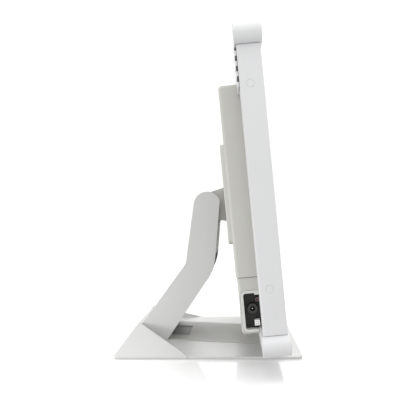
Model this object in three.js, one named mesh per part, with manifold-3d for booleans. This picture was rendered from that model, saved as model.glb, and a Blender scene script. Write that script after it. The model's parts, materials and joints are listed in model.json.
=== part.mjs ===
// Digital photo frame on a tilting desk stand.
//
// Millimetres, +Z up. The screen faces -Y, its width runs along X.
// The origin is the centre of the base's footprint, on the surface that the feet stand on.

import * as THREE from 'three';
import { ConvexGeometry } from 'three/addons/geometries/ConvexGeometry.js';
import { mergeVertices } from 'three/addons/utils/BufferGeometryUtils.js';
import Module from 'manifold-3d';

const wasm = await Module();
wasm.setup();

// ---------------------------------------------------------------- driving dimensions

const GAP = 0.3; // clearance between neighbouring pieces
const SIDES = [-1, 1]; // left is -X, right is +X
const FAR = 300; // well outside the object, for cutting solids that run right through it

// The tilt hinge's axis, parallel to X, and how far the screen leans back at rest.
const PIVOT = { y: 4.25, z: 177.6 };
const LEAN = THREE.MathUtils.degToRad(5.4);

// Base: a faceted rear block and a low front plate, over a steel plate and four feet.
const BASE = { halfWidth: 116, halfDepth: 108.55, corner: 5, bottom: 0.8, skirtTop: 3.2 };
const RIDGE = { x: 58, y: 89.65, z: 30.7 }; // ends of the rear block's top edge
const MOUTH = { x: 57, y: 54.75, z: 8 }; // ends of the arm socket's lower edge
const HIP = { x: 75, y: 52, z: 8.1 }; // where the rear block's front edge turns, behind the seam
const SEAM_Y = 23; // where the seam between the two halves reaches the sides
const SEAM_GAP = 0.5;
const CREST = { x: 60, y: -50 }; // where the front plate's ramp fades out
const STEEL = { inset: 4, top: 2, recessTop: 2.3 };
const BLOCK_WALL = 3;
const FOOT = { radius: 7, x: 98, y: 92 };
const BASE_SCREW = { head: 3, headHeight: 1.2, shank: 1.5, length: 7, frontLength: 3.2, boss: 4 };
const PORT = { halfWidth: 27, yFront: 29.5, yRear: 53, recess: 0.6 };

// Arm: a bent hollow strut. Its side outline is bounded by four straight edges, (y, z).
const ARM = { halfWidth: 57, earRadius: 17, wall: 3, footZ: STEEL.top, earInner: 47 };
const ARM_FRONT_UPPER = [[-10.75, 171.4], [-6.15, 113.5]];
const ARM_FRONT_LOWER = [[2.55, 85.3], [54.85, 7.2]];
const ARM_REAR_BEND = [31.15, 104];
const ARM_REAR_FOOT = [84.15, 31];
const REAR_BEND_BLEND = 4;
const SLOT_DROP = 23; // the hinge slot's floor, below the pivot
const SOCKET_WALL = 2.5;
const FRONT_COVER = { bottom: 14, belowSlot: 6, fadeBelowSlot: 60 };
const CORE = { thickness: 4, halfWidth: 51.3, earRadius: 12, bend: [15, 98], footY: 80 };
const CORE_FOOT = { yFront: 66, yRear: 97 };
const CORE_EAR = { webWidth: 14, webBelowSlot: 20 };
const CABLE_SLOT = { halfWidth: 51, zLow: 99, zHigh: 115 };

// Hinge hardware.
const PIN = { radius: 4, bore: 4.3, headRadius: 6, headFrom: 51.6, headTo: 53.4 };
const WASHER = { radius: 12, from: 45.3, to: 46.7 };
const KNUCKLE = { halfWidth: 45, barrel: 15 };
const BRACKET = { top: 20.7, bottom: -22.5, neck: [[-14, -20.3], [-5.6, 16.7]] };

// Screen head, in its own frame: y to the rear and z up along the screen, from the pivot.
const RAIL = { outer: 190, inner: 168, front: -75.4, rear: -50.6, bottom: -139.8, top: 154 };
const RAIL_WALL = 3;
const RAIL_EDGE = 2;
const BAR = { halfWidth: 200, height: 20.6, front: -77.2, rear: -48.5, edge: 0.9 };
const BAR_POCKET = 165; // half of the width of the hollow inside each bar
const SIDE_SCREW_HEIGHTS = { upper: 114, lower: -92.5 };
const SIDE_SCREW = { y: -61.5, cap: 3.9, depth: 0.6, sunk: 0.05, shank: 1.5, length: 12 };
const SIDE_SCREW_FIT = 0.08; // clearance round the flat cap
const SCREEN_Z = 6.25; // height of the picture's centre
const PICTURE = { halfWidth: 152.5, halfHeight: 114.5 };
const MAT = { front: -74, rear: -71 };
const GLASS = { front: -70.7, rear: -68.7, halfWidth: 160, halfHeight: 122 };
const LCD = { front: -68.4, rear: -56.4, halfWidth: 163.5, halfHeight: 127 };
const TRAY = { front: -56.1, rear: -54.6, halfWidth: 181, halfHeight: 125, flange: 11, wall: 1.5 };
const PANEL = { front: -54.3, rear: -52 };

// The panel's raised band, which wraps over the rails, and the vent slots in its two ends.
const BAND = { halfWidth: 187, bottom: 112, rear: -48.4 };
const VENT = { rows: 4, lowest: 119.9, pitch: 10.5, height: 5.6, from: 172, topMargin: 2.2 };

// Electronics cover behind the frame, in two halves.
const COVER = { halfWidth: 150, back: -28.4, bottom: -146.6, top: 125, seam: -84, wall: 2.5 };
const COVER_CORNER = 4.5;
const COVER_EDGE = 4;
const LOWER_INSET = 1;

// Connector bay in the left side of the lower cover: its opening, and the rim around that.
const BAY = { rear: -34.3, top: -101.5, bottom: -140.5, rim: 3.1, corner: 2.6, depth: 11 };
const BAY_TAB = { rear: -46.3, drop: 2 };
const DC_JACK = { y: -43.2, z: -119, radius: 5.6, bore: 2.8, recess: 5 };
const AUDIO_JACK = { y: -49.3, z: -109.6, radius: 2.1, bore: 1.25, recess: 6 };
const SOCKET = { y: -47, z: -134, half: 2.8, recess: 1.5, hole: 0.5, holeOffset: 1.1, holeDepth: 3 };
const SOCKET_DEPTH = 6; // how far each socket reaches in behind the bay's floor
const BAY_PLATE = 1.7;

// Mounting plate, its screws, and the posts that they screw into.
const PLATE = { halfWidth: 60, bottom: -52, top: 74.4, rear: -22.4, corner: 7, edge: 1.2 };
const PLATE_SCREW = { spacing: 50, shank: 2, head: 3.9, headHeight: 2.3, sunk: 0.2, length: 12 };
const POST = { radius: 4.5, bore: 2.3, boreFrom: -38.4 };

// Circuit boards, in front of the cover's back, and the larger components on them.
const BOARD = { gap: 1, thickness: 1.6, bottom: -66, top: 70, postRoom: 1.5 };
const MAIN_BOARD = { x0: -134, x1: -8, chipHalf: 12, chipHeight: 3 };
const MAIN_CHIPS = [[-95, -30], [-50, 20], [-95, 25]];
const POWER_BOARD = { x0: 12, x1: 118 };
const POWER_BLOCKS = [
  { x: [70, 100], z: [-50, -10], height: 12 },
  { x: [64, 90], z: [10, 34], height: 9 },
];
const KEY_BOARD = { thickness: 1.6, behindKeys: 4, y: [-46, -34], z: [4, 104] };

// Push buttons in the right side of the upper cover.
const BUTTON = { y: -40, halfDepth: 4.5, halfHeight: 3, corner: 1.2, proud: 1.2, inside: 3 };
const BUTTON_LIP = { proud: 0.6, travel: 1 };
const BUTTON_HEIGHTS = { power: 92, menu: 64, up: 48, down: 32, enter: 16 };

// ---------------------------------------------------------------- materials

function finish(color, roughness, metalness = 0) {
  return new THREE.MeshStandardMaterial({ color, roughness, metalness });
}

const WHITE_PLASTIC = finish(0xe9eaeb, 0.42);
const GREY_PLASTIC = finish(0xc4c5c0, 0.55);
const LIGHT_PLASTIC = finish(0xdcdcd8, 0.45);
const STAND_PLASTIC = finish(0xd9dbdc, 0.5);
const DARK_PLASTIC = finish(0x55585a, 0.6);
const BLACK_PLASTIC = finish(0x1b1c1e, 0.5);
const MAT_BOARD = finish(0xf1f0ec, 0.7);
const DARK_GLASS = finish(0x0a0b0d, 0.06);
const SHEET_STEEL = finish(0xa9adb0, 0.4, 0.9);
const BRIGHT_STEEL = finish(0xc3c6c8, 0.28, 1);
const CIRCUIT_GREEN = finish(0x1f5a36, 0.5);
const RUBBER = finish(0x26272a, 0.85);
const PINK_PLASTIC = finish(0xd8a8ac, 0.5);
const FRICTION_PLASTIC = finish(0x8a8c86, 0.6);

// ---------------------------------------------------------------- solids

const ALONG_X = new THREE.Matrix4().makeBasis(
  new THREE.Vector3(0, 1, 0),
  new THREE.Vector3(0, 0, 1),
  new THREE.Vector3(1, 0, 0),
);
const ALONG_Y = new THREE.Matrix4().makeBasis(
  new THREE.Vector3(1, 0, 0),
  new THREE.Vector3(0, 0, 1),
  new THREE.Vector3(0, -1, 0),
);

// A closed three.js geometry as a solid that can be joined and cut.
function solid(geometry) {
  geometry.deleteAttribute('normal');
  geometry.deleteAttribute('uv');
  const welded = mergeVertices(geometry, 1e-4);
  return new wasm.Manifold(new wasm.Mesh({
    numProp: 3,
    vertProperties: new Float32Array(welded.attributes.position.array),
    triVerts: new Uint32Array(welded.index.array),
  }));
}

function box(x0, x1, y0, y1, z0, z1) {
  const geometry = new THREE.BoxGeometry(x1 - x0, y1 - y0, z1 - z0);
  geometry.translate((x0 + x1) / 2, (y0 + y1) / 2, (z0 + z1) / 2);
  return solid(geometry);
}

function extruded(shape, depth, curveSegments = 4) {
  return new THREE.ExtrudeGeometry(shape, { depth, bevelEnabled: false, curveSegments });
}

// A (y, z) outline carried from x0 to x1.
function alongX(shape, x0, x1, curveSegments) {
  return solid(extruded(shape, x1 - x0, curveSegments).applyMatrix4(ALONG_X).translate(x0, 0, 0));
}

// An (x, z) outline carried from y0 to y1.
function alongY(shape, y0, y1, curveSegments) {
  return solid(extruded(shape, y1 - y0, curveSegments).applyMatrix4(ALONG_Y).translate(0, y1, 0));
}

// An (x, y) outline carried from z0 to z1.
function alongZ(shape, z0, z1, curveSegments) {
  return solid(extruded(shape, z1 - z0, curveSegments).translate(0, 0, z0));
}

// An (x, z) outline carried from y0 to y1 with rounded front and rear edges.
function roundedAlongY(shape, y0, y1, radius, curveSegments) {
  const geometry = new THREE.ExtrudeGeometry(shape, {
    depth: y1 - y0 - 2 * radius,
    bevelThickness: radius,
    bevelSize: radius,
    bevelOffset: -radius,
    bevelSegments: 3,
    curveSegments,
  });
  return solid(geometry.applyMatrix4(ALONG_Y).translate(0, y1 - radius, 0));
}

function rectangle(x0, x1, y0, y1, radius = 0) {
  const shape = new THREE.Shape();
  if (radius === 0) {
    shape.moveTo(x0, y0).lineTo(x1, y0).lineTo(x1, y1).lineTo(x0, y1);
    return shape;
  }
  shape.absarc(x1 - radius, y0 + radius, radius, -Math.PI / 2, 0);
  shape.absarc(x1 - radius, y1 - radius, radius, 0, Math.PI / 2);
  shape.absarc(x0 + radius, y1 - radius, radius, Math.PI / 2, Math.PI);
  shape.absarc(x0 + radius, y0 + radius, radius, Math.PI, 1.5 * Math.PI);
  shape.closePath();
  return shape;
}

// A long bar's (x, z) outline with half-round ends.
function stadium(halfWidth, z0, z1) {
  const radius = (z1 - z0) / 2;
  const middle = (z0 + z1) / 2;
  const shape = new THREE.Shape();
  shape.absarc(halfWidth - radius, middle, radius, -Math.PI / 2, Math.PI / 2);
  shape.absarc(radius - halfWidth, middle, radius, Math.PI / 2, 1.5 * Math.PI);
  shape.closePath();
  return shape;
}

function rodX(radius, x0, x1, y, z, sides = 16) {
  const geometry = new THREE.CylinderGeometry(radius, radius, x1 - x0, sides);
  geometry.rotateZ(Math.PI / 2);
  return solid(geometry.translate((x0 + x1) / 2, y, z));
}

function rodY(radius, y0, y1, x, z, sides = 16) {
  const geometry = new THREE.CylinderGeometry(radius, radius, y1 - y0, sides);
  return solid(geometry.translate(x, (y0 + y1) / 2, z));
}

function rodZ(radius, z0, z1, x, y, sides = 16) {
  const geometry = new THREE.CylinderGeometry(radius, radius, z1 - z0, sides);
  geometry.rotateX(Math.PI / 2);
  return solid(geometry.translate(x, y, (z0 + z1) / 2));
}

function hull(points) {
  return solid(new ConvexGeometry(points.map(([x, y, z]) => new THREE.Vector3(x, y, z))));
}

function mirrored(points) {
  return points.flatMap(([x, y, z]) => [[x, y, z], [-x, y, z]]);
}

function join(solids) {
  return solids.reduce((sum, part) => sum.add(part));
}

function cut(body, tools) {
  return tools.reduce((rest, tool) => rest.subtract(tool), body);
}

function add(group, name, body, material) {
  const cutMesh = body.getMesh();
  const geometry = new THREE.BufferGeometry();
  geometry.setAttribute('position', new THREE.BufferAttribute(cutMesh.vertProperties, 3));
  geometry.setIndex(new THREE.BufferAttribute(cutMesh.triVerts, 1));
  const mesh = new THREE.Mesh(geometry, material);
  mesh.name = name;
  group.add(mesh);
}

function sideName(side) {
  return side < 0 ? 'left' : 'right';
}

// Two distances from the middle plane, on one side, as a low and a high x.
function sideSpan(side, a, b) {
  return side < 0 ? [-Math.max(a, b), -Math.min(a, b)] : [Math.min(a, b), Math.max(a, b)];
}

// ---------------------------------------------------------------- arm outline

// The straight edge from a to b, moved to its left by a distance.
function movedLine([a, b], distance) {
  const direction = new THREE.Vector2(b[0] - a[0], b[1] - a[1]).normalize();
  const shift = new THREE.Vector2(-direction.y, direction.x).multiplyScalar(distance);
  const start = new THREE.Vector2(...a).add(shift);
  const end = new THREE.Vector2(...b).add(shift);
  return { start, end, direction };
}

function meeting(first, second) {
  const between = second.start.clone().sub(first.start);
  const along = between.cross(second.direction) / first.direction.cross(second.direction);
  return first.start.clone().addScaledVector(first.direction, along);
}

function levelLine(height) {
  return { start: new THREE.Vector2(0, height), direction: new THREE.Vector2(1, 0) };
}

// The arm's side outline, drawn in by an inset, down to a level foot.
function armOutline(inset, footZ) {
  const pivot = new THREE.Vector2(PIVOT.y, PIVOT.z);
  const bend = new THREE.Vector2(...ARM_REAR_BEND);
  const reach = pivot.clone().sub(bend);
  const tangentAngle = reach.angle() - Math.asin(ARM.earRadius / reach.length());
  const tangentTop = [
    bend.x + reach.length() * Math.cos(tangentAngle),
    bend.y + reach.length() * Math.sin(tangentAngle),
  ];

  const frontUpper = movedLine(ARM_FRONT_UPPER, inset);
  const frontLower = movedLine(ARM_FRONT_LOWER, inset);
  const rearLower = movedLine([ARM_REAR_FOOT, ARM_REAR_BEND], inset);
  const rearUpper = movedLine([ARM_REAR_BEND, tangentTop], inset);

  const radius = ARM.earRadius - inset;
  const frontNormal = new THREE.Vector2(-frontUpper.direction.y, frontUpper.direction.x);
  const frontDistance = pivot.clone().sub(frontUpper.start).dot(frontNormal);
  const arcStart = tangentAngle - Math.PI / 2;
  const arcEnd = frontNormal.angle() + Math.PI - Math.acos(frontDistance / radius);

  const frontFoot = meeting(frontLower, levelLine(footZ));
  const rearFoot = meeting(rearLower, levelLine(footZ));
  const rearCorner = meeting(rearLower, rearUpper);
  const frontCorner = meeting(frontUpper, frontLower);
  const belowBend = rearCorner.clone().addScaledVector(rearLower.direction, -REAR_BEND_BLEND);
  const aboveBend = rearCorner.clone().addScaledVector(rearUpper.direction, REAR_BEND_BLEND);

  const shape = new THREE.Shape();
  shape.moveTo(frontFoot.x, frontFoot.y);
  shape.lineTo(rearFoot.x, rearFoot.y);
  shape.lineTo(belowBend.x, belowBend.y);
  shape.quadraticCurveTo(rearCorner.x, rearCorner.y, aboveBend.x, aboveBend.y);
  shape.absarc(pivot.x, pivot.y, radius, arcStart, arcEnd);
  shape.lineTo(frontUpper.end.x, frontUpper.end.y);
  shape.quadraticCurveTo(frontCorner.x, frontCorner.y, frontLower.start.x, frontLower.start.y);
  shape.closePath();
  return shape;
}

// ---------------------------------------------------------------- stand

const stand = new THREE.Group();
const baseOutline = rectangle(
  -BASE.halfWidth, BASE.halfWidth, -BASE.halfDepth, BASE.halfDepth, BASE.corner,
);
const steelOutline = rectangle(
  -BASE.halfWidth + STEEL.inset, BASE.halfWidth - STEEL.inset,
  -BASE.halfDepth + STEEL.inset, BASE.halfDepth - STEEL.inset, 2,
);
const slotFloor = PIVOT.z - SLOT_DROP;

const BASE_SCREWS = {
  base_screw_front_left: [-40, 12],
  base_screw_front_right: [40, 12],
  base_screw_rear_left: [-84, 84],
  base_screw_rear_right: [84, 84],
};
const ARM_SCREWS = {
  arm_foot_screw_left: [-30, 84],
  arm_foot_screw_right: [30, 84],
};

function screwFromBelow([x, y], length) {
  const head = rodZ(BASE_SCREW.head, BASE.bottom, BASE.bottom + BASE_SCREW.headHeight, x, y, 12);
  return head.add(rodZ(BASE_SCREW.shank, BASE.bottom, BASE.bottom + length, x, y, 8));
}

function screwHole([x, y], length) {
  const below = BASE.bottom - 1;
  const head = rodZ(BASE_SCREW.head + GAP, below, BASE.bottom + BASE_SCREW.headHeight + GAP, x, y, 12);
  return head.add(rodZ(BASE_SCREW.shank + GAP, below, BASE.bottom + length + GAP, x, y, 8));
}

// The outside of the faceted rear block, from its four lower corners to its ridge.
function blockHull(inset, lowZ) {
  const side = BASE.halfWidth - inset;
  const rear = BASE.halfDepth - inset;
  const skirt = BASE.skirtTop - 0.6 * inset;
  return hull(mirrored([
    [side, rear, lowZ],
    [side, SEAM_Y + inset, lowZ],
    [side, rear, skirt],
    [side, SEAM_Y + inset, skirt],
    [RIDGE.x, RIDGE.y, RIDGE.z - 1.2 * inset],
  ]));
}

// The space in front of the rear block: over the seam and over the socket's sloping mouth.
function frontNotch(shift) {
  const above = 2 * RIDGE.z;
  return hull(mirrored([
    [RIDGE.x, RIDGE.y + shift, RIDGE.z],
    [RIDGE.x, RIDGE.y + shift, above],
    [MOUTH.x, MOUTH.y + shift, MOUTH.z],
    [HIP.x, HIP.y + shift, HIP.z],
    [BASE.halfWidth, SEAM_Y + shift, BASE.skirtTop],
    [BASE.halfWidth, SEAM_Y + shift, above],
  ]));
}

// What lies in front of the seam between the two halves of the base, seen from above.
function frontHalf(shift, z0, z1) {
  const side = BASE.halfWidth + 1;
  const shape = new THREE.Shape();
  shape.moveTo(-side, -BASE.halfDepth - 1);
  shape.lineTo(side, -BASE.halfDepth - 1);
  shape.lineTo(side, SEAM_Y - shift);
  shape.lineTo(MOUTH.x, MOUTH.y - shift);
  shape.lineTo(-MOUTH.x, MOUTH.y - shift);
  shape.lineTo(-side, SEAM_Y - shift);
  shape.closePath();
  return alongZ(shape, z0, z1);
}

// The space that the arm's foot fills, with clearance all round.
function armSocket() {
  return alongX(armOutline(-GAP, -1), -ARM.halfWidth - GAP, ARM.halfWidth + GAP);
}

function addRearBlock() {
  const socketWalls = alongX(
    armOutline(-GAP - SOCKET_WALL, -1),
    -ARM.halfWidth - GAP - SOCKET_WALL,
    ARM.halfWidth + GAP + SOCKET_WALL,
  );
  const bosses = Object.entries(BASE_SCREWS)
    .filter(([name]) => name.includes('rear'))
    .map(([, place]) => rodZ(BASE_SCREW.boss, STEEL.recessTop, RIDGE.z, place[0], place[1], 12));
  const steelRecess = alongZ(steelOutline, 0, STEEL.recessTop);
  const inside = cut(blockHull(BLOCK_WALL, 0), [
    socketWalls,
    frontNotch(BLOCK_WALL),
    frontHalf(-BLOCK_WALL, -1, BASE.skirtTop + 1),
    ...bosses,
  ]);
  const outline = alongZ(baseOutline, BASE.bottom, RIDGE.z + 1);
  const body = cut(blockHull(0, BASE.bottom).intersect(outline), [
    frontNotch(0),
    frontHalf(0, -1, MOUTH.z + 1).intersect(box(-FAR, FAR, -FAR, MOUTH.y, -1, MOUTH.z + 1)),
    armSocket(),
    inside,
    steelRecess,
    ...Object.values(BASE_SCREWS).map((place) => screwHole(place, BASE_SCREW.length)),
  ]);
  add(stand, 'base_rear_block', body, STAND_PLASTIC);
}

function frontPlateHull() {
  const side = BASE.halfWidth;
  const flat = box(-side, side, -BASE.halfDepth, MOUTH.y, BASE.bottom, BASE.skirtTop);
  const ramp = hull(mirrored([
    [MOUTH.x, MOUTH.y, MOUTH.z],
    [MOUTH.x, MOUTH.y, BASE.bottom],
    [side, SEAM_Y, BASE.skirtTop],
    [side, SEAM_Y, BASE.bottom],
    [CREST.x, CREST.y, BASE.skirtTop],
    [CREST.x, CREST.y, BASE.bottom],
  ]));
  return flat.add(ramp).intersect(alongZ(baseOutline, BASE.bottom, MOUTH.z + 1));
}

function portPrism(clearance) {
  const half = PORT.halfWidth + clearance;
  return box(-half, half, PORT.yFront - clearance, PORT.yRear + clearance, 0, MOUTH.z + 1);
}

function addFrontPlate() {
  const body = cut(frontPlateHull().intersect(frontHalf(SEAM_GAP, 0, MOUTH.z + 1)), [
    alongZ(steelOutline, 0, STEEL.recessTop),
    armSocket(),
    portPrism(GAP),
    ...Object.values(BASE_SCREWS).map((place) => screwHole(place, BASE_SCREW.frontLength)),
  ]);
  add(stand, 'base_front_plate', body, STAND_PLASTIC);

  const insert = frontPlateHull()
    .translate([0, 0, -PORT.recess])
    .intersect(portPrism(0))
    .intersect(box(-FAR, FAR, -FAR, FAR, STEEL.recessTop, MOUTH.z));
  add(stand, 'cable_port_insert', insert, DARK_PLASTIC);
}

function addUnderside() {
  const feet = SIDES.flatMap((sideX) => SIDES.map((sideY) => [sideX, sideY]));
  const plate = cut(alongZ(steelOutline, BASE.bottom, STEEL.top), [
    ...feet.map(([sx, sy]) => rodZ(FOOT.radius + GAP, 0, STEEL.top + 1, sx * FOOT.x, sy * FOOT.y)),
    ...Object.values({ ...BASE_SCREWS, ...ARM_SCREWS }).map((place) => (
      screwHole(place, BASE_SCREW.length)
    )),
  ]);
  add(stand, 'base_steel_plate', plate, SHEET_STEEL);

  for (const [sx, sy] of feet) {
    const name = `foot_${sy < 0 ? 'front' : 'rear'}_${sideName(sx)}`;
    add(stand, name, rodZ(FOOT.radius, 0, STEEL.top, sx * FOOT.x, sy * FOOT.y), RUBBER);
  }
  for (const [name, place] of Object.entries(BASE_SCREWS)) {
    const length = name.includes('front') ? BASE_SCREW.frontLength : BASE_SCREW.length;
    add(stand, name, screwFromBelow(place, length), BRIGHT_STEEL);
  }
  for (const [name, place] of Object.entries(ARM_SCREWS)) {
    add(stand, name, screwFromBelow(place, BASE_SCREW.length), BRIGHT_STEEL);
  }
}

// The arm's hollow: everything inside its walls, with a floor under the hinge slot.
function armHollow(wall, footZ) {
  const outline = armOutline(wall, footZ);
  const reach = ARM.halfWidth - wall;
  const lower = alongX(outline, -reach, reach).intersect(
    box(-reach, reach, -FAR, FAR, 0, slotFloor - ARM.wall),
  );
  const ears = SIDES.map((side) => {
    const [x0, x1] = sideSpan(side, ARM.earInner, reach);
    return alongX(outline, x0, x1);
  });
  return join([lower, ...ears]);
}

// The slab just behind the arm's front face that the front cover fills.
function frontCoverSlab(clearance) {
  const depth = ARM.wall + clearance;
  const reach = ARM.halfWidth - ARM.wall + clearance;
  const outer = alongX(armOutline(clearance === 0 ? 0 : -1, -1), -reach, reach);
  const inner = alongX(armOutline(depth, -1), -reach - 1, reach + 1);
  const top = slotFloor - FRONT_COVER.belowSlot + clearance;
  const bottom = FRONT_COVER.bottom - clearance;
  const front = new THREE.Shape();
  front.moveTo(-30, top);
  front.lineTo(-30, bottom);
  front.lineTo(60, bottom);
  front.lineTo(PIVOT.y + 4, slotFloor - FRONT_COVER.fadeBelowSlot);
  front.lineTo(PIVOT.y, top);
  front.closePath();
  return outer.subtract(inner).intersect(alongX(front, -reach, reach));
}

function addArm() {
  const outer = alongX(armOutline(0, ARM.footZ), -ARM.halfWidth, ARM.halfWidth, 8);
  const slot = box(-ARM.earInner, ARM.earInner, -FAR, FAR, slotFloor, FAR);
  const shell = cut(outer, [armHollow(ARM.wall, 0), slot, frontCoverSlab(GAP)]);
  add(stand, 'arm_shell', shell, STAND_PLASTIC);

  const cableSlot = box(
    -CABLE_SLOT.halfWidth, CABLE_SLOT.halfWidth, -FAR, FAR, CABLE_SLOT.zLow, CABLE_SLOT.zHigh,
  );
  add(stand, 'arm_front_cover', frontCoverSlab(0).subtract(cableSlot), STAND_PLASTIC);
}

// A bent steel strip down the middle of the arm, with a level foot and two ears for the hinge pin.
function addArmCore() {
  const top = [PIVOT.y + 3, slotFloor - ARM.wall - GAP];
  const upper = [top, CORE.bend];
  const lower = [CORE.bend, [CORE.footY, ARM.footZ]];
  const half = CORE.thickness / 2;
  const shape = new THREE.Shape();
  for (const [index, shift] of [half, -half].entries()) {
    const upperLine = movedLine(upper, shift);
    const lowerLine = movedLine(lower, shift);
    const corners = [
      meeting(upperLine, levelLine(top[1])),
      meeting(upperLine, lowerLine),
      meeting(lowerLine, levelLine(ARM.footZ)),
    ];
    if (index === 0) {
      shape.moveTo(corners[0].x, corners[0].y);
      shape.lineTo(corners[1].x, corners[1].y);
      shape.lineTo(corners[2].x, corners[2].y);
    } else {
      shape.lineTo(corners[2].x, corners[2].y);
      shape.lineTo(corners[1].x, corners[1].y);
      shape.lineTo(corners[0].x, corners[0].y);
    }
  }
  const strip = alongX(shape, -CORE.halfWidth, CORE.halfWidth);
  const ears = SIDES.map((side) => {
    const x = sideSpan(side, CORE.halfWidth - CORE.thickness, CORE.halfWidth);
    const disc = rodX(CORE.earRadius, x[0], x[1], PIVOT.y, PIVOT.z, 24);
    const web = hull(x.flatMap((at) => [
      [at, PIVOT.y - CORE.earRadius * 0.8, PIVOT.z],
      [at, PIVOT.y + CORE.earRadius, PIVOT.z],
      [at, PIVOT.y, slotFloor - CORE_EAR.webBelowSlot],
      [at, PIVOT.y + CORE_EAR.webWidth, slotFloor - CORE_EAR.webBelowSlot],
    ]));
    return disc.add(web);
  });
  const foot = box(
    -CORE.halfWidth, CORE.halfWidth, CORE_FOOT.yFront, CORE_FOOT.yRear,
    ARM.footZ, ARM.footZ + CORE.thickness,
  );
  const core = cut(join([strip, foot, ...ears]), [
    rodX(PIN.bore, -FAR, FAR, PIVOT.y, PIVOT.z),
    ...Object.values(ARM_SCREWS).map((place) => screwHole(place, BASE_SCREW.length)),
  ]);
  add(stand, 'arm_core', core, SHEET_STEEL);
}

function addHinge() {
  const shaft = rodX(PIN.radius, -PIN.headTo, PIN.headFrom, PIVOT.y, PIVOT.z);
  const head = rodX(PIN.headRadius, PIN.headFrom, PIN.headTo, PIVOT.y, PIVOT.z);
  add(stand, 'hinge_pin', shaft.add(head), BRIGHT_STEEL);

  const nut = rodX(PIN.headRadius + 1, -PIN.headTo + GAP, -PIN.headFrom, PIVOT.y, PIVOT.z, 6)
    .subtract(rodX(PIN.bore, -FAR, FAR, PIVOT.y, PIVOT.z));
  add(stand, 'hinge_nut', nut, BRIGHT_STEEL);

  for (const side of SIDES) {
    const x = sideSpan(side, WASHER.from, WASHER.to);
    const washer = rodX(WASHER.radius, x[0], x[1], PIVOT.y, PIVOT.z, 24)
      .subtract(rodX(PIN.bore, -FAR, FAR, PIVOT.y, PIVOT.z));
    add(stand, `friction_washer_${sideName(side)}`, washer, FRICTION_PLASTIC);
  }
}

// ---------------------------------------------------------------- screen head

const head = new THREE.Group();
head.position.set(0, PIVOT.y, PIVOT.z);
head.rotation.x = -LEAN;

function addBars() {
  const ends = {
    top_rail: [RAIL.top, RAIL.top + BAR.height],
    bottom_rail: [RAIL.bottom - BAR.height, RAIL.bottom],
  };
  for (const [name, [z0, z1]] of Object.entries(ends)) {
    const outline = stadium(BAR.halfWidth, z0, z1);
    const bar = roundedAlongY(outline, BAR.front, BAR.rear, BAR.edge, 10);
    const isTop = name === 'top_rail';
    const inset = RAIL_WALL + BAR.edge;
    const pocket = box(
      -BAR_POCKET, BAR_POCKET, BAR.front + inset, BAR.rear - inset,
      isTop ? z0 - 1 : z0 + RAIL_WALL, isTop ? z1 - RAIL_WALL : z1 + 1,
    );
    add(head, name, bar.subtract(pocket), WHITE_PLASTIC);
  }
}

// A side screw with its flat cap, or the close-fitting hole for it.
function sideScrew(side, height, isHole) {
  const fit = isHole ? SIDE_SCREW_FIT : 0;
  const room = isHole ? GAP : 0;
  const capBase = RAIL.outer - SIDE_SCREW.depth;
  const [c0, c1] = sideSpan(side, capBase - room, RAIL.outer - SIDE_SCREW.sunk + room);
  const [s0, s1] = sideSpan(side, RAIL.outer - SIDE_SCREW.length - room, capBase);
  return rodX(SIDE_SCREW.cap + fit, c0, c1, SIDE_SCREW.y, height, 24)
    .add(rodX(SIDE_SCREW.shank + room, s0, s1, SIDE_SCREW.y, height, 8));
}

function addSideRails() {
  for (const side of SIDES) {
    const [x0, x1] = sideSpan(side, RAIL.inner, RAIL.outer);
    const outline = rectangle(x0, x1, RAIL.front, RAIL.rear, RAIL_EDGE);
    const reach = sideSpan(side, RAIL.inner - 1, RAIL.outer - RAIL_WALL);
    const channel = box(...reach, RAIL.front + RAIL_WALL, RAIL.rear - RAIL_WALL, -FAR, FAR);
    const screws = Object.entries(SIDE_SCREW_HEIGHTS);
    const rail = cut(alongZ(outline, RAIL.bottom + GAP, RAIL.top - GAP), [
      channel,
      ...screws.map(([, height]) => sideScrew(side, height, true)),
    ]);
    add(head, `side_rail_${sideName(side)}`, rail, WHITE_PLASTIC);
    for (const [place, height] of screws) {
      const name = `side_screw_${sideName(side)}_${place}`;
      add(head, name, sideScrew(side, height, false), WHITE_PLASTIC);
    }
  }
}

function centredPlate({ halfWidth, halfHeight }, y0, y1) {
  return box(-halfWidth, halfWidth, y0, y1, SCREEN_Z - halfHeight, SCREEN_Z + halfHeight);
}

function addDisplay() {
  const matReach = RAIL.inner - GAP;
  const mat = box(-matReach, matReach, MAT.front, MAT.rear, RAIL.bottom + GAP, RAIL.top - GAP)
    .subtract(centredPlate(PICTURE, -FAR, 0));
  add(head, 'front_mat', mat, MAT_BOARD);
  add(head, 'screen_glass', centredPlate(GLASS, GLASS.front, GLASS.rear), DARK_GLASS);
  add(head, 'lcd_panel', centredPlate(LCD, LCD.front, LCD.rear), BLACK_PLASTIC);

  const sheet = centredPlate(TRAY, TRAY.front, TRAY.rear);
  const flanges = SIDES.map((side) => {
    const [x0, x1] = sideSpan(side, TRAY.halfWidth - TRAY.wall, TRAY.halfWidth);
    return centredPlate(TRAY, TRAY.rear - TRAY.flange, TRAY.rear)
      .intersect(box(x0, x1, -FAR, 0, -FAR, FAR));
  });
  const screwHoles = SIDES.flatMap((side) => (
    Object.values(SIDE_SCREW_HEIGHTS).map((height) => sideScrew(side, height, true))
  ));
  add(head, 'chassis_tray', cut(join([sheet, ...flanges]), screwHoles), SHEET_STEEL);
}

// The slots, row by row, which run out of the band's ends.
function ventSlots() {
  const slots = [];
  for (let row = 0; row < VENT.rows; row += 1) {
    const middle = VENT.lowest + row * VENT.pitch;
    const top = Math.min(middle + VENT.height / 2, RAIL.top - VENT.topMargin);
    for (const side of SIDES) {
      const [x0, x1] = sideSpan(side, VENT.from, BAND.halfWidth + 1);
      slots.push(box(x0, x1, RAIL.rear, BAND.rear + 1, middle - VENT.height / 2, top));
    }
  }
  return slots;
}

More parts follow.
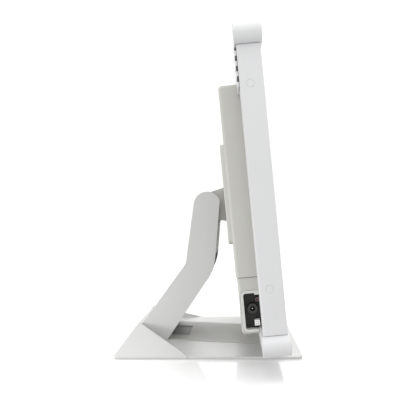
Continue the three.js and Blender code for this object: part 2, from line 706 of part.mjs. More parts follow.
// The raised band: full width above the cover, with two ends that reach down beside it.
function ventBand() {
  const outline = rectangle(-BAND.halfWidth, BAND.halfWidth, BAND.bottom, RAIL.top - GAP, 1);
  const coverRoom = COVER.halfWidth + GAP;
  const betweenRails = RAIL.inner - GAP;
  return cut(alongY(outline, PANEL.rear - 0.5, BAND.rear, 2), [
    box(-coverRoom, coverRoom, -FAR, 0, 0, COVER.top + GAP),
    ...SIDES.map((side) => {
      const [x0, x1] = sideSpan(side, betweenRails, BAND.halfWidth + 1);
      return box(x0, x1, -FAR, RAIL.rear + GAP, 0, FAR);
    }),
  ]);
}

function addBackPanel() {
  const reach = RAIL.inner - GAP;
  const postHoles = plateScrewPlaces().map(({ x, z }) => (
    rodY(POST.radius + GAP, PANEL.front - 1, PANEL.rear + 1, x, z, 12)
  ));
  const panel = box(-reach, reach, PANEL.front, PANEL.rear, RAIL.bottom + GAP, RAIL.top - GAP);
  add(head, 'back_panel', cut(panel.add(ventBand()), [...postHoles, ...ventSlots()]), WHITE_PLASTIC);
}

// The cover's outside, drawn in by an inset, with rounded rear edges and open towards the frame.
function coverForm(inset) {
  const half = COVER.halfWidth - inset;
  const outline = rectangle(-half, half, COVER.bottom + inset, COVER.top - inset, COVER_CORNER);
  const form = roundedAlongY(outline, PANEL.rear - 20, COVER.back - inset, COVER_EDGE, 4);
  return form.intersect(box(-FAR, FAR, PANEL.rear + GAP, 0, -FAR, FAR));
}

// The cover's plain inside.
function coverHollow(inset) {
  const half = COVER.halfWidth - inset;
  const outline = rectangle(
    -half, half, COVER.bottom + inset, COVER.top - inset, COVER_CORNER - COVER.wall,
  );
  return alongY(outline, PANEL.rear - 1, COVER.back - inset, 3);
}

function buttonPrism(height, clearance, x0, x1) {
  const depth = BUTTON.halfDepth + clearance;
  const rise = BUTTON.halfHeight + clearance;
  const outline = rectangle(
    BUTTON.y - depth, BUTTON.y + depth, height - rise, height + rise, BUTTON.corner,
  );
  return alongX(outline, x0, x1, 2);
}

// The bay opening's (y, z) outline, grown by a distance. It runs past the panel at the front.
function bayOutline(growth) {
  return rectangle(
    PANEL.rear - 8, BAY.rear + growth, BAY.bottom - growth, BAY.top + growth, BAY.corner + growth,
  );
}

function plateScrewPlaces() {
  const middle = (PLATE.top + PLATE.bottom) / 2;
  const places = [];
  for (const [row, up] of [['upper', 1], ['lower', -1]]) {
    for (const side of SIDES) {
      places.push({
        name: `${row}_${sideName(side)}`,
        x: side * PLATE_SCREW.spacing,
        z: middle + up * PLATE_SCREW.spacing,
      });
    }
  }
  return places;
}

// The space that the bottom bar takes from what lies behind it.
function barRoom() {
  return box(-FAR, FAR, -FAR, BAR.rear + GAP, -FAR, RAIL.bottom + GAP);
}

function addCovers() {
  const shell = coverForm(0).subtract(coverHollow(COVER.wall));
  const screwHoles = plateScrewPlaces().map(({ x, z }) => rodY(POST.bore, -FAR, 0, x, z, 12));
  const buttonHoles = Object.values(BUTTON_HEIGHTS).map((height) => (
    buttonPrism(height, GAP, COVER.halfWidth - 10, COVER.halfWidth + 10)
  ));
  const upper = cut(shell.intersect(box(-FAR, FAR, -FAR, 0, COVER.seam + GAP, FAR)), [
    ...screwHoles,
    ...buttonHoles,
  ]);
  add(head, 'rear_cover_upper', upper, GREY_PLASTIC);

  const lowerShell = coverForm(LOWER_INSET).subtract(coverHollow(LOWER_INSET + COVER.wall));
  const bayFloor = -COVER.halfWidth + LOWER_INSET + BAY.depth + GAP;
  const bay = alongX(bayOutline(BAY.rim + GAP), -COVER.halfWidth - 5, bayFloor);
  const lower = cut(lowerShell.intersect(box(-FAR, FAR, -FAR, 0, -FAR, COVER.seam - GAP)), [
    bay,
    barRoom(),
  ]);
  add(head, 'rear_cover_lower', lower, GREY_PLASTIC);
}

// A round socket in the bay's floor, or the hole for it where there is a clearance.
function roundSocket(jack, face, floor, clearance) {
  const from = face + jack.recess - clearance;
  return rodX(jack.radius + clearance, from, floor + SOCKET_DEPTH, jack.y, jack.z, 24);
}

function squareSocket(face, floor, clearance) {
  const half = SOCKET.half + clearance;
  return box(
    face + SOCKET.recess, floor + SOCKET_DEPTH,
    SOCKET.y - half, SOCKET.y + half, SOCKET.z - half, SOCKET.z + half,
  );
}

function addConnectorBay() {
  const face = -COVER.halfWidth + LOWER_INSET;
  const floor = face + BAY.depth;
  const inFront = box(-FAR, FAR, PANEL.rear + GAP, 0, -FAR, FAR).subtract(barRoom());
  const tab = box(face, floor, PANEL.rear, BAY_TAB.rear, BAY.top - BAY_TAB.drop, BAY.top + 1);
  const bezel = alongX(bayOutline(BAY.rim), face, floor)
    .subtract(alongX(bayOutline(0), face - 1, floor + 1))
    .add(tab)
    .intersect(inFront);
  add(head, 'io_bezel', bezel, LIGHT_PLASTIC);

  const plate = box(
    floor + GAP, floor + GAP + BAY_PLATE, PANEL.rear + GAP, BAY.rear + 1, BAY.bottom - 1, BAY.top + 1,
  ).intersect(inFront);
  const sockets = [
    roundSocket(DC_JACK, face, floor, GAP),
    roundSocket(AUDIO_JACK, face, floor, GAP),
    squareSocket(face, floor, GAP),
  ];
  add(head, 'io_plate', cut(plate, sockets), BLACK_PLASTIC);

  for (const [name, jack, material] of [
    ['dc_jack', DC_JACK, DARK_PLASTIC],
    ['audio_jack', AUDIO_JACK, PINK_PLASTIC],
  ]) {
    const bore = rodX(jack.bore, face, floor + GAP + BAY_PLATE, jack.y, jack.z);
    add(head, name, roundSocket(jack, face, floor, 0).subtract(bore), material);
  }

  const holes = SIDES.flatMap((up) => SIDES.map((along) => {
    const y = SOCKET.y + along * SOCKET.holeOffset;
    const z = SOCKET.z + up * SOCKET.holeOffset;
    const { hole } = SOCKET;
    const depth = SOCKET.recess + SOCKET.holeDepth;
    return box(face, face + depth, y - hole, y + hole, z - hole, z + hole);
  }));
  add(head, 'four_pin_socket', cut(squareSocket(face, floor, 0), holes), WHITE_PLASTIC);
}

function addBoards() {
  const front = PANEL.rear + BOARD.gap;
  const rear = front + BOARD.thickness;
  const embedded = rear - 0.5; // components start inside the board, so that they join it
  const postRooms = plateScrewPlaces().map(({ x, z }) => (
    rodY(POST.radius + BOARD.postRoom, -FAR, 0, x, z, 8)
  ));

  const chip = MAIN_BOARD.chipHalf;
  const mainBoard = join([
    box(MAIN_BOARD.x0, MAIN_BOARD.x1, front, rear, BOARD.bottom, BOARD.top),
    ...MAIN_CHIPS.map(([x, z]) => (
      box(x - chip, x + chip, embedded, rear + MAIN_BOARD.chipHeight, z - chip, z + chip)
    )),
  ]);
  add(head, 'main_board', cut(mainBoard, postRooms), CIRCUIT_GREEN);

  const powerBoard = join([
    box(POWER_BOARD.x0, POWER_BOARD.x1, front, rear, BOARD.bottom, BOARD.top),
    ...POWER_BLOCKS.map(({ x, z, height }) => box(...x, embedded, rear + height, ...z)),
  ]);
  add(head, 'power_board', cut(powerBoard, postRooms), CIRCUIT_GREEN);

  const keyX = COVER.halfWidth - COVER.wall - BUTTON.inside - KEY_BOARD.behindKeys;
  const keyBoard = box(keyX, keyX + KEY_BOARD.thickness, ...KEY_BOARD.y, ...KEY_BOARD.z);
  add(head, 'key_board', keyBoard, CIRCUIT_GREEN);
}

// Each button has a lip inside the cover that keeps it from falling out.
function addButtons() {
  const outer = COVER.halfWidth + BUTTON.proud;
  const inner = COVER.halfWidth - COVER.wall - BUTTON.inside;
  const lipTo = COVER.halfWidth - COVER.wall - GAP - BUTTON_LIP.travel;
  const depth = BUTTON.halfDepth + BUTTON_LIP.proud;
  const rise = BUTTON.halfHeight + BUTTON_LIP.proud;
  for (const [name, height] of Object.entries(BUTTON_HEIGHTS)) {
    const cap = buttonPrism(height, 0, inner, outer);
    const lip = box(
      inner, lipTo, BUTTON.y - depth, BUTTON.y + depth, height - rise, height + rise,
    );
    add(head, `button_${name}`, cap.add(lip), LIGHT_PLASTIC);
  }
}

function addMountingPlate() {
  const places = plateScrewPlaces();
  const front = COVER.back + GAP;
  const outline = rectangle(-PLATE.halfWidth, PLATE.halfWidth, PLATE.bottom, PLATE.top, PLATE.corner);
  const headBase = PLATE.rear - PLATE_SCREW.sunk - PLATE_SCREW.headHeight;
  const plate = cut(
    roundedAlongY(outline, front - 2, PLATE.rear, PLATE.edge, 4)
      .intersect(box(-FAR, FAR, front, 0, -FAR, FAR)),
    places.flatMap(({ x, z }) => [
      rodY(POST.bore, -FAR, 0, x, z, 12),
      rodY(PLATE_SCREW.head + GAP, headBase - GAP, 0, x, z),
    ]),
  );
  add(head, 'vesa_plate', plate, LIGHT_PLASTIC);

  for (const { name, x, z } of places) {
    const shank = rodY(PLATE_SCREW.shank, headBase - PLATE_SCREW.length, headBase + 1, x, z, 10);
    const cap = rodY(PLATE_SCREW.head, headBase, headBase + PLATE_SCREW.headHeight, x, z);
    add(head, `vesa_screw_${name}`, shank.add(cap), BRIGHT_STEEL);
    const post = rodY(POST.radius, TRAY.rear + GAP, COVER.back - COVER.wall - GAP, x, z, 12)
      .subtract(rodY(POST.bore, POST.boreFrom, 0, x, z, 10));
    add(head, `standoff_${name}`, post, BRIGHT_STEEL);
  }
}

function addTiltBracket() {
  const front = PLATE.rear + GAP;
  const profile = [[front, BRACKET.top], [front, BRACKET.bottom], ...BRACKET.neck];
  const barrel = new THREE.Path().absarc(0, 0, KNUCKLE.barrel, 0, 2 * Math.PI).getPoints(16);
  for (const point of barrel.slice(1)) {
    profile.push([point.x, point.y]);
  }
  const half = KNUCKLE.halfWidth;
  const body = hull(profile.flatMap(([y, z]) => [[-half, y, z], [half, y, z]]));
  add(head, 'tilt_bracket', body.subtract(rodX(PIN.bore, -FAR, FAR, 0, 0)), GREY_PLASTIC);
}

// ---------------------------------------------------------------- assembly

addRearBlock();
addFrontPlate();
addUnderside();
addArm();
addArmCore();
addHinge();

addBars();
addSideRails();
addDisplay();
addBackPanel();
addCovers();
addConnectorBay();
addBoards();
addButtons();
addMountingPlate();
addTiltBracket();

const photoFrame = new THREE.Group();
photoFrame.add(stand, head);

export default photoFrame;
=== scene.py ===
import json
import math

import bmesh
import bpy
from mathutils import Matrix, Vector


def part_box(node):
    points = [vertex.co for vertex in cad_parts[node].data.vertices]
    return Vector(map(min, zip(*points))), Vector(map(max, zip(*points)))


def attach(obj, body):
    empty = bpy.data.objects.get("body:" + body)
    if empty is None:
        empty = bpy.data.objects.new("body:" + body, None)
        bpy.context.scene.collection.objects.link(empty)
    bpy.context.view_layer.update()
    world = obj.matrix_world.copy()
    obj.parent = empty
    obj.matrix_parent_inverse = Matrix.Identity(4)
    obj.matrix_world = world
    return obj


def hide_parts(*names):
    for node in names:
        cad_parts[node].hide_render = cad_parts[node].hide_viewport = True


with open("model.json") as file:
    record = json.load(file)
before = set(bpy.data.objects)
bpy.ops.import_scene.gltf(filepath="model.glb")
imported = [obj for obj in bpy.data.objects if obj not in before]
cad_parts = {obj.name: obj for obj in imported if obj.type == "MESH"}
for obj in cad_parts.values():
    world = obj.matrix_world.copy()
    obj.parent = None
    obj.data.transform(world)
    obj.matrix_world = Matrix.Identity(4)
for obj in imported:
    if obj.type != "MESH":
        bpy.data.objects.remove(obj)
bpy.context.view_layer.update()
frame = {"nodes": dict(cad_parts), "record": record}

NODES = frame["nodes"]
RECORD = frame["record"]
SCENE = bpy.context.scene
MM = 0.001

# ------------------------------------------------------------------ the head's own frame

# The screen leans back about an axis through the hinge. Across is +X, out is towards the rear
# and up runs along the screen.
TILT = RECORD["behaviour"]["joints"][0]
PIVOT = Vector(TILT["pos_m"])
LEAN = math.radians(5.4)
HEAD = Matrix.Translation(PIVOT) @ Matrix.Rotation(-LEAN, 4, "X")


# ------------------------------------------------------------------ camera

# A level side view from the left (-X), a little in front of the middle of the base. The distance
# and the lens are chosen together: a view along the width does not settle either of them.
CAMERA_DISTANCE = 0.700
CAMERA_Y = -0.03085
CAMERA_Z = 0.1651
SENSOR = 36.0
LENS = 44.22
SHIFT = (-0.0649, 0.0168)


def make_camera():
    data = bpy.data.cameras.new("camera")
    data.sensor_width = SENSOR
    data.lens = LENS
    data.shift_x, data.shift_y = SHIFT
    camera = bpy.data.objects.new("camera", data)
    camera.location = (-CAMERA_DISTANCE, CAMERA_Y, CAMERA_Z)
    camera.rotation_euler = (math.radians(90), 0, math.radians(-90))
    SCENE.collection.objects.link(camera)
    SCENE.camera = camera


# ------------------------------------------------------------------ node materials

class Material:
    """A principled material and short calls that build its node tree."""

    def __init__(self, name):
        self.material = bpy.data.materials.new(name)
        self.material.use_nodes = True
        self.tree = self.material.node_tree
        self.shader = self.tree.nodes["Principled BSDF"]
        self.place = self.node("ShaderNodeTexCoord").outputs["Object"]

    def node(self, kind, **settings):
        made = self.tree.nodes.new(kind)
        for key, value in settings.items():
            setattr(made, key, value)
        return made

    def link(self, output, socket):
        self.tree.links.new(output, socket)

    def feed(self, output, socket_name):
        self.link(output, self.shader.inputs[socket_name])

    def set(self, **values):
        for key, value in values.items():
            self.shader.inputs[key.replace("_", " ")].default_value = value

    def stretched(self, stretch):
        mapping = self.node("ShaderNodeMapping")
        mapping.inputs["Scale"].default_value = stretch
        self.link(self.place, mapping.inputs["Vector"])
        return mapping.outputs["Vector"]

    def noise(self, scale, detail=2.0, stretch=(1, 1, 1)):
        made = self.node("ShaderNodeTexNoise")
        made.inputs["Scale"].default_value = scale
        made.inputs["Detail"].default_value = detail
        self.link(self.stretched(stretch), made.inputs["Vector"])
        return made.outputs["Fac"]

    def cells(self, scale):
        made = self.node("ShaderNodeTexVoronoi")
        made.inputs["Scale"].default_value = scale
        self.link(self.place, made.inputs["Vector"])
        return made.outputs["Distance"]

    def bands(self, scale, axis):
        made = self.node("ShaderNodeTexWave", bands_direction=axis)
        made.inputs["Scale"].default_value = scale
        self.link(self.place, made.inputs["Vector"])
        return made.outputs["Fac"]

    def math(self, operation, first, second):
        made = self.node("ShaderNodeMath", operation=operation)
        for socket, value in zip(made.inputs, (first, second)):
            if isinstance(value, (int, float)):
                socket.default_value = value
            else:
                self.link(value, socket)
        return made.outputs["Value"]

    def spread(self, factor, low, high, start=0.3, end=0.7):
        """The factor carried from low to high, as a number."""
        made = self.node("ShaderNodeMapRange")
        made.inputs["From Min"].default_value = start
        made.inputs["From Max"].default_value = end
        made.inputs["To Min"].default_value = low
        made.inputs["To Max"].default_value = high
        self.link(factor, made.inputs["Value"])
        return made.outputs["Result"]

    def blend(self, factor, low, high, start=0.3, end=0.7):
        """The factor carried from one colour to another."""
        made = self.node("ShaderNodeValToRGB")
        made.color_ramp.elements[0].position = start
        made.color_ramp.elements[0].color = (*low, 1)
        made.color_ramp.elements[1].position = end
        made.color_ramp.elements[1].color = (*high, 1)
        self.link(factor, made.inputs["Fac"])
        return made.outputs["Color"]

    def bump(self, height, strength, distance):
        made = self.node("ShaderNodeBump")
        made.inputs["Strength"].default_value = strength
        made.inputs["Distance"].default_value = distance
        self.link(height, made.inputs["Height"])
        self.feed(made.outputs["Normal"], "Normal")


def shade(color, factor):
    return tuple(channel * factor for channel in color)


def moulded_plastic(name, color, roughness, grain=0.05, grain_scale=2600, drift=0.02):
    """Moulded plastic: slow colour drift, a fine spark-eroded grain and slightly uneven gloss."""
    made = Material(name)
    slow = made.noise(9, 3)
    made.feed(made.blend(slow, shade(color, 1 - drift), shade(color, 1 + drift)), "Base Color")
    patches = made.noise(60, 4)
    made.feed(made.spread(patches, roughness - 0.04, roughness + 0.05), "Roughness")
    pits = made.cells(grain_scale)
    fine = made.noise(grain_scale * 0.6, 2)
    made.bump(made.math("ADD", pits, fine), grain, 0.00006)
    return made.material


def mat_board(name, color):
    """Pressed board with a soft paper tooth."""
    made = Material(name)
    fibres = made.noise(700, 5, (1, 1, 3))
    made.feed(made.blend(fibres, shade(color, 0.965), color), "Base Color")
    made.feed(made.spread(made.noise(300, 3), 0.72, 0.85), "Roughness")
    made.bump(fibres, 0.35, 0.00008)
    return made.material


def sheet_steel(name, color, roughness, stretch):
    """Rolled or turned steel, with fine lines along one direction."""
    made = Material(name)
    lines = made.noise(420, 6, stretch)
    made.feed(made.blend(lines, shade(color, 0.86), color), "Base Color")
    made.feed(made.spread(lines, roughness - 0.08, roughness + 0.1), "Roughness")
    made.set(Metallic=1.0)
    made.bump(lines, 0.12, 0.00004)
    return made.material


def circuit_board(name):
    """Solder mask over tracks that run in two directions."""
    made = Material(name)
    across = made.bands(160, "X")
    along = made.bands(140, "Z")
    regions = made.noise(34, 1)
    choice = made.spread(regions, 0, 1, 0.48, 0.52)
    tracks = made.math("ADD", made.math("MULTIPLY", across, choice),
                       made.math("MULTIPLY", along, made.math("SUBTRACT", 1.0, choice)))
    made.feed(made.blend(tracks, (0.008, 0.085, 0.03), (0.03, 0.19, 0.07), 0.55, 0.65), "Base Color")
    made.feed(made.spread(made.noise(90, 3), 0.3, 0.42), "Roughness")
    made.bump(tracks, 0.2, 0.00005)
    return made.material


def rubber(name, color):
    made = Material(name)
    made.feed(made.blend(made.noise(40, 4), shade(color, 0.8), shade(color, 1.35)), "Base Color")
    made.feed(made.spread(made.noise(500, 3), 0.72, 0.9), "Roughness")
    made.bump(made.noise(1500, 3), 0.4, 0.0001)
    return made.material


def woven_mesh(name, color):
    """A fine square weave of dark threads."""
    made = Material(name)
    across = made.bands(420, "X")
    along = made.bands(420, "Z")
    threads = made.math("MAXIMUM", across, along)
    made.feed(made.blend(threads, shade(color, 0.25), color, 0.4, 0.8), "Base Color")
    made.feed(made.spread(threads, 0.85, 0.6), "Roughness")
    made.bump(threads, 0.8, 0.00025)
    return made.material


def dark_glass(name):
    """Smooth glass over a black display, with a trace of handling haze."""
    made = Material(name)
    haze = made.noise(14, 5)
    made.feed(made.blend(haze, (0.006, 0.0065, 0.008), (0.009, 0.0095, 0.012)), "Base Color")
    made.feed(made.spread(haze, 0.03, 0.075), "Roughness")
    made.set(IOR=1.5, Coat_Weight=0.6, Coat_Roughness=0.02)
    made.bump(made.noise(5, 1), 0.02, 0.0005)
    return made.material


RAIL_WHITE = (0.618, 0.62, 0.626)
COVER_GREY = (0.505, 0.501, 0.471)
TRIM_GREY = (0.625, 0.625, 0.598)
STAND_WHITE = (0.522, 0.522, 0.512)

MATERIALS = {
    "white_plastic": moulded_plastic("white_plastic", RAIL_WHITE, 0.42, 0.04),
    "grey_plastic": moulded_plastic("grey_plastic", COVER_GREY, 0.55, 0.14, 1800),
    "light_plastic": moulded_plastic("light_plastic", TRIM_GREY, 0.48, 0.06),
    "stand_plastic": moulded_plastic("stand_plastic", STAND_WHITE, 0.34, 0.03, 2200),
    "dark_plastic": moulded_plastic("dark_plastic", (0.033, 0.034, 0.03), 0.5, 0.1),
    "insert_plastic": moulded_plastic("insert_plastic", (0.26, 0.255, 0.24), 0.55, 0.15, 1500),
    "black_plastic": moulded_plastic("black_plastic", (0.0095, 0.009, 0.0075), 0.5, 0.06),
    # A brighter white for the square socket: a white part, with its extra brightness painted light
    # against the shade of its recess.
    "socket_white_painted_light": moulded_plastic("socket_white_painted_light", (0.93, 0.93, 0.92), 0.35, 0.03),
    "mat_board": mat_board("mat_board", (0.78, 0.765, 0.73)),
    "screen_glass": dark_glass("screen_glass"),
    "vent_mesh": woven_mesh("vent_mesh", (0.075, 0.075, 0.072)),
    "sheet_steel": sheet_steel("sheet_steel", (0.56, 0.57, 0.58), 0.38, (1, 14, 14)),
    "bright_steel": sheet_steel("bright_steel", (0.66, 0.66, 0.65), 0.26, (3, 3, 3)),
    "circuit_board": circuit_board("circuit_board"),
    "rubber": rubber("rubber", (0.022, 0.022, 0.023)),
    "pink_plastic": moulded_plastic("pink_plastic", (0.20, 0.13, 0.13), 0.45, 0.05),
    "friction_plastic": moulded_plastic("friction_plastic", (0.2, 0.21, 0.2), 0.6, 0.2, 900),
}


# ------------------------------------------------------------------ CAD nodes with fine edges

WELD_DISTANCE = 0.00001
FLAT_ANGLE = 1
NODE_EDGE = {"segments": 3, "angle": 28}
PIECE_EDGE = {"segments": 2, "angle": 30}


def add_bevel(piece, width, segments, angle):
    bevel = piece.modifiers.new("edges", "BEVEL")
    bevel.width = width
    bevel.segments = segments
    bevel.limit_method = "ANGLE"
    bevel.angle_limit = math.radians(angle)
    return bevel


def fine_edges(node, width):
    """Rounds a CAD node's edges with modifiers, leaving its mesh as it is."""
    piece = NODES[node]
    weld = piece.modifiers.new("weld", "WELD")
    weld.merge_threshold = WELD_DISTANCE
    planar = piece.modifiers.new("planar", "DECIMATE")
    planar.decimate_type = "DISSOLVE"
    planar.angle_limit = math.radians(FLAT_ANGLE)
    bevel = add_bevel(piece, width, **NODE_EDGE)
    bevel.miter_outer = "MITER_ARC"
    normals = piece.modifiers.new("normals", "WEIGHTED_NORMAL")
    normals.keep_sharp = False


# How wide the rounding is, in millimetres.
EDGES = {
    "side_rail_left": 0.3, "side_rail_right": 0.3,
    "arm_shell": 0.9, "arm_front_cover": 0.4,
    "base_rear_block": 1.1, "base_front_plate": 0.9,
    "rear_cover_upper": 0.3, "rear_cover_lower": 0.3,
    "vesa_plate": 0.3, "tilt_bracket": 0.5, "io_bezel": 0.5,
    "front_mat": 0.3, "cable_port_insert": 0.3, "back_panel": 0.25,
}
BUTTONS = ("power", "menu", "up", "down", "enter")
EDGES.update({f"foot_{end}_{side}": 0.5 for end in ("front", "rear") for side in ("left", "right")})
EDGES.update({f"button_{key}": 0.35 for key in BUTTONS})

# Nodes whose look differs from the rest of their slot. The square socket gets a brighter white than
# its slot; the extra brightness is painted light that makes up for the shade in its recess.
OWN_FINISH = {"four_pin_socket": "socket_white_painted_light"}


def finish_nodes():
    for part in RECORD["subparts"]:
        piece = NODES[part["node"]]
        finish = OWN_FINISH.get(part["node"], part["material_slot"])
        piece.data.materials.clear()
        piece.data.materials.append(MATERIALS[finish])
        piece.data.polygons.foreach_set("use_smooth", [True] * len(piece.data.polygons))
    for node, width in EDGES.items():
        fine_edges(node, width * MM)


# ------------------------------------------------------------------ making pieces

def new_piece(name, mesh, material, body):
    """A piece that rides on a body and takes the material it is given."""
    mesh.materials.clear()
    mesh.materials.append(material)
    mesh.polygons.foreach_set("use_smooth", [True] * len(mesh.polygons))
    piece = bpy.data.objects.new(name, mesh)
    SCENE.collection.objects.link(piece)
    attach(piece, body)
    return piece


def soften(piece, width):
    add_bevel(piece, width, **PIECE_EDGE)
    piece.modifiers.new("normals", "WEIGHTED_NORMAL")


def mesh_from(build):
    """The mesh that a function builds in a new bmesh."""
    made = bmesh.new()
    build(made)
    bmesh.ops.recalc_face_normals(made, faces=made.faces)
    mesh = bpy.data.meshes.new("mesh")
    made.to_mesh(mesh)
    made.free()
    return mesh


def add_block(made, low, high, matrix=Matrix.Identity(4)):
    low, high = Vector(low), Vector(high)
    place = Matrix.Translation((low + high) / 2) @ Matrix.Diagonal((*(high - low), 1))
    bmesh.ops.create_cube(made, size=1, matrix=matrix @ place)


def add_lathe(made, profile, matrix, steps=48):
    """A (radius, height) profile, from axis to axis, turned about the matrix's own Z."""
    rings = []
    for radius, height in profile:
        if radius == 0:
            rings.append([made.verts.new(matrix @ Vector((0, 0, height)))])
            continue
        turns = [2 * math.pi * step / steps for step in range(steps)]
        rings.append([
            made.verts.new(matrix @ Vector((radius * math.cos(turn), radius * math.sin(turn), height)))
            for turn in turns
        ])
    for lower, upper in zip(rings, rings[1:]):
        for step in range(steps):
            after = (step + 1) % steps
            corners = [lower[step % len(lower)], lower[after % len(lower)],
                       upper[after % len(upper)], upper[step % len(upper)]]
            unique = list(dict.fromkeys(corners))
            if len(unique) > 2:
                made.faces.new(unique)


def cut_by(mesh, cutter):
    """A mesh with another closed mesh cut out of it."""
    body = bpy.data.objects.new("body", mesh)
    tool = bpy.data.objects.new("tool", cutter)
    for item in (body, tool):
        SCENE.collection.objects.link(item)
    boolean = body.modifiers.new("cut", "BOOLEAN")
    boolean.operation = "DIFFERENCE"
    boolean.solver = "EXACT"
    boolean.object = tool
    bpy.context.view_layer.update()
    evaluated = body.evaluated_get(bpy.context.evaluated_depsgraph_get())
    result = bpy.data.meshes.new_from_object(evaluated)
    for item in (body, tool):
        bpy.data.objects.remove(item)
    if len(result.polygons) <= len(mesh.polygons):
        raise RuntimeError("the cut came back empty")
    return result


# ------------------------------------------------------------------ base mat

# A thin soft mat on the ramp in front of the arm. The ramp falls from the arm to a flat front.
RAMP_REAR = (0.05475, 0.0080)
RAMP_FRONT = (-0.050, 0.0032)
MAT_HALF_WIDTH = 0.0562
MAT_FRONT = -0.078
MAT_REAR = 0.0535
MAT_THICKNESS = 0.00045
MAT_CORNER = 8 * MM
MAT_CORNER_STEPS = 8
MAT_EDGE = 0.15 * MM
PORT_MARGIN = 0.0006


def ramp_height(y):
    share = (y - RAMP_FRONT[0]) / (RAMP_REAR[0] - RAMP_FRONT[0])
    return RAMP_FRONT[1] + max(share, 0) * (RAMP_REAR[1] - RAMP_FRONT[1])


def make_base_mat():
    low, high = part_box("cable_port_insert")
    columns = [-MAT_HALF_WIDTH, low[0] - PORT_MARGIN, high[0] + PORT_MARGIN, MAT_HALF_WIDTH]
    rows = [MAT_FRONT, RAMP_FRONT[0], low[1] - PORT_MARGIN, MAT_REAR]

    def build(made):
        grid = [[made.verts.new((x, y, ramp_height(y))) for x in columns] for y in rows]
        for row in range(3):
            for column in range(3):
                if row == 2 and column == 1:
                    continue
                made.faces.new([
                    grid[row][column], grid[row][column + 1],
                    grid[row + 1][column + 1], grid[row + 1][column],
                ])
        corners = [grid[0][0], grid[0][-1]]
        bmesh.ops.bevel(made, geom=corners, offset=MAT_CORNER, segments=MAT_CORNER_STEPS,
                        profile=0.5, affect="VERTICES")

    piece = new_piece("base_mat", mesh_from(build), MATERIALS["grey_plastic"],
                      "stand")
    skin = piece.modifiers.new("thickness", "SOLIDIFY")
    skin.thickness = MAT_THICKNESS
    skin.offset = 1
    soften(piece, MAT_EDGE)


# ------------------------------------------------------------------ vents

# The slots in the two ends of the back panel's raised band, in the head's own frame.
VENT_ROWS = 4
VENT_LOWEST = 119.9 * MM
VENT_PITCH = 10.5 * MM
VENT_HEIGHT = 5.6 * MM
VENT_TOP = 151.8 * MM
VENT_X = (172.3 * MM, 186.7 * MM)
VENT_OUT = (-50.2 * MM, -48.8 * MM)
VENT_CLEARANCE = 0.15 * MM
VENT_EDGE = 0.2 * MM


def make_vent_meshes():
    def build_side(side):
        def build(made):
            for row in range(VENT_ROWS):
                middle = VENT_LOWEST + row * VENT_PITCH
                bottom = middle - VENT_HEIGHT / 2 + VENT_CLEARANCE
                top = min(middle + VENT_HEIGHT / 2, VENT_TOP) - VENT_CLEARANCE
                across = sorted(side * x for x in VENT_X)
                add_block(made, (across[0], VENT_OUT[0], bottom),
                          (across[1], VENT_OUT[1], top), HEAD)
        return build

    for side, name in ((-1, "vent_mesh_left"), (1, "vent_mesh_right")):
        piece = new_piece(name, mesh_from(build_side(side)), MATERIALS["vent_mesh"],
                          "screen")
        soften(piece, VENT_EDGE)


# ------------------------------------------------------------------ screws with cross recesses

PLATE_SCREW = {"radius": 3.9 * MM, "head_height": 2.3 * MM, "shank_radius": 2 * MM}
PLATE_SCREW_TOP = -22.6 * MM
PLATE_SCREW_LENGTH = 14.3 * MM
PLATE_SCREW_SPACING = 50 * MM
PLATE_MIDDLE = 11.2 * MM
BASE_SCREW = {"radius": 3 * MM, "head_height": 1.2 * MM, "shank_radius": 1.5 * MM}
SCREW_EDGE = 0.1 * MM
SCREW_TIP = 0.6 * MM

# The cross recess, as shares of the head's radius and height.
CROSS_REACH = 0.62
CROSS_HALF_WIDTH = 0.13
CROSS_DEPTH = 0.7


def cross_outline(arm, half):
    """The twelve corners of a plus sign, in order."""
    corner = [(arm, -half), (arm, half), (half, half)]
    return [
        (x * math.cos(turn) - y * math.sin(turn), x * math.sin(turn) + y * math.cos(turn))
        for turn in (0, math.pi / 2, math.pi, 1.5 * math.pi)
        for x, y in corner
    ]


def screw_mesh(length, place, radius, head_height, shank_radius):
    """A flat-headed screw along the matrix's Z, its head's top at zero, with a cross recess."""
    edge = SCREW_EDGE
    profile = [
        (0, -length), (shank_radius * 0.6, -length), (shank_radius, -length + SCREW_TIP),
        (shank_radius, -head_height), (radius - edge, -head_height),
        (radius, -head_height + edge), (radius, -3.5 * edge),
        (radius - edge, -edge), (radius - 3.5 * edge, 0), (0, 0),
    ]
    screw = mesh_from(lambda made: add_lathe(made, profile, Matrix.Identity(4)))
    outline = cross_outline(radius * CROSS_REACH, radius * CROSS_HALF_WIDTH)

    def build_cross(made):
        lower, upper = (
            [made.verts.new((x, y, height)) for x, y in outline]
            for height in (-CROSS_DEPTH * head_height, MM)
        )
        made.faces.new(lower)
        made.faces.new(upper)
        for index in range(len(outline)):
            after = (index + 1) % len(outline)
            made.faces.new([lower[index], lower[after], upper[after], upper[index]])

    mesh = cut_by(screw, mesh_from(build_cross))
    mesh.transform(place)
    return mesh


def make_plate_screws():
    """The four screws of the mounting plate, whose heads lie in its rear face."""
    rearwards = Matrix.Rotation(-math.pi / 2, 4, "X")
    for vertical, up in (("upper", 1), ("lower", -1)):
        for side, across in (("left", -1), ("right", 1)):
            head_top = Vector((
                across * PLATE_SCREW_SPACING, PLATE_SCREW_TOP, PLATE_MIDDLE + up * PLATE_SCREW_SPACING,
            ))
            place = HEAD @ Matrix.Translation(head_top) @ rearwards
            mesh = screw_mesh(PLATE_SCREW_LENGTH, place, **PLATE_SCREW)
            piece = new_piece(f"plate_screw_{vertical}_{side}", mesh, MATERIALS["bright_steel"],
                              "screen")
            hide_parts(f"vesa_screw_{vertical}_{side}")


